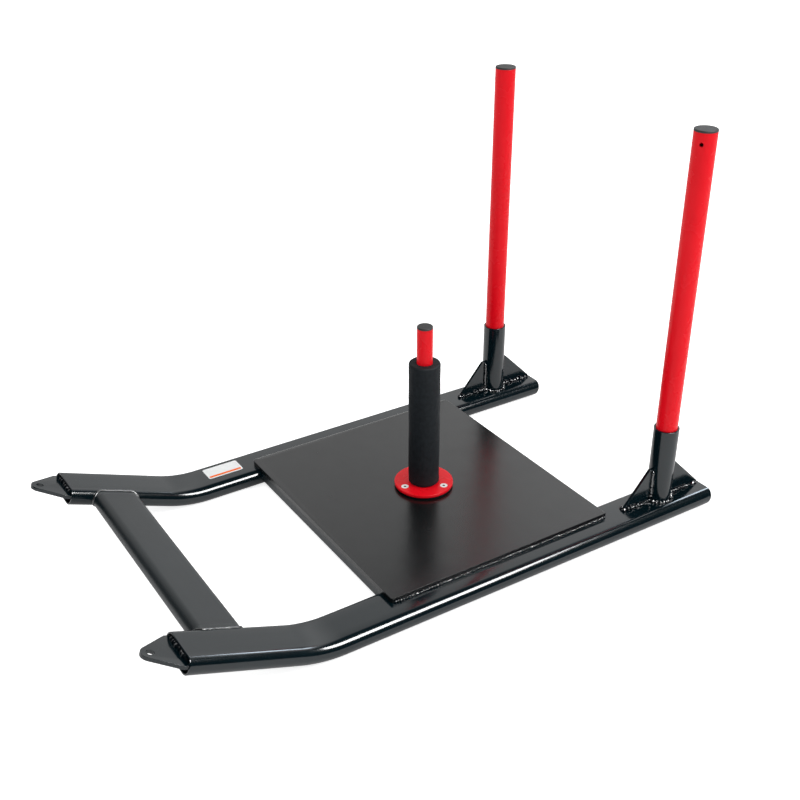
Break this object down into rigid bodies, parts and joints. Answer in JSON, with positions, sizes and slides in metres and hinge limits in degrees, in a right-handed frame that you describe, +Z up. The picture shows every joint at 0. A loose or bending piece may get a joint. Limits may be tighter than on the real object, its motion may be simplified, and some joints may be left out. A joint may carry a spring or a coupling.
{
  "type": "weight sled",
  "caption": "Steel weight sled on flat-oval skids with turned-up fronts, a deck with a foam-sleeved weight post, tow ears, and red push poles loose in welded sockets.",
  "frame": {"origin": "on the ground plane, under the middle of the sled's overall box", "axes": "+Y points to the rear, where the person who pushes stands, along the skids; +X points to that person's left; +Z points up"},
  "size_m": [0.528, 0.9652, 0.628],
  "materials": {
    "black_gloss": "gloss black powder coat",
    "black_satin": "satin black powder coat",
    "black_weld": "rippled weld under gloss black powder coat",
    "red_gloss": "gloss red powder coat",
    "cap_plastic": "matte dark grey",
    "foam": "matte black foam",
    "pad_rubber": "matte black rubber",
    "zinc": "bright zinc plating",
    "label": "white film with a plain orange edge stripe"
  },
  "bodies": {
    "frame": {"left_runner": "black_gloss", "right_runner": "black_gloss", "crossbar": "black_gloss", "left_tow_ear": "black_gloss", "right_tow_ear": "black_gloss", "deck_plate": "black_satin", "front_deck_bar": "black_gloss", "rear_deck_bar": "black_gloss", "flange_pad": "pad_rubber", "post_flange": "red_gloss", "post_tube": "red_gloss", "post_cap": "cap_plastic", "flange_screws": "zinc", "flange_washers": "zinc", "flange_nuts": "zinc", "left_socket": "black_gloss", "right_socket": "black_gloss", "left_front_gusset": "black_gloss", "left_rear_gusset": "black_gloss", "right_front_gusset": "black_gloss", "right_rear_gusset": "black_gloss", "left_deck_weld": "black_weld", "right_deck_weld": "black_weld", "deck_bar_welds": "black_weld", "left_crossbar_weld": "black_weld", "right_crossbar_weld": "black_weld", "left_ear_weld": "black_weld", "right_ear_weld": "black_weld", "left_socket_weld": "black_weld", "right_socket_weld": "black_weld", "post_weld": "black_weld", "blank_label": "label"},
    "left_pole": {"left_pole": "red_gloss", "left_pole_cap": "cap_plastic"},
    "right_pole": {"right_pole": "red_gloss", "right_pole_cap": "cap_plastic"},
    "sleeve": {"plate_sleeve": "foam"}
  },
  "joints": [
    {"name": "left_pole_lift", "type": "slide", "parent": "frame", "child": "left_pole", "axis": [0, 0, 1], "range_m": [0, 0.15]},
    {"name": "right_pole_lift", "type": "slide", "parent": "frame", "child": "right_pole", "axis": [0, 0, 1], "range_m": [0, 0.15]},
    {"name": "sleeve_lift", "type": "slide", "parent": "frame", "child": "sleeve", "axis": [0, 0, 1], "range_m": [0, 0.29]}
  ]
}
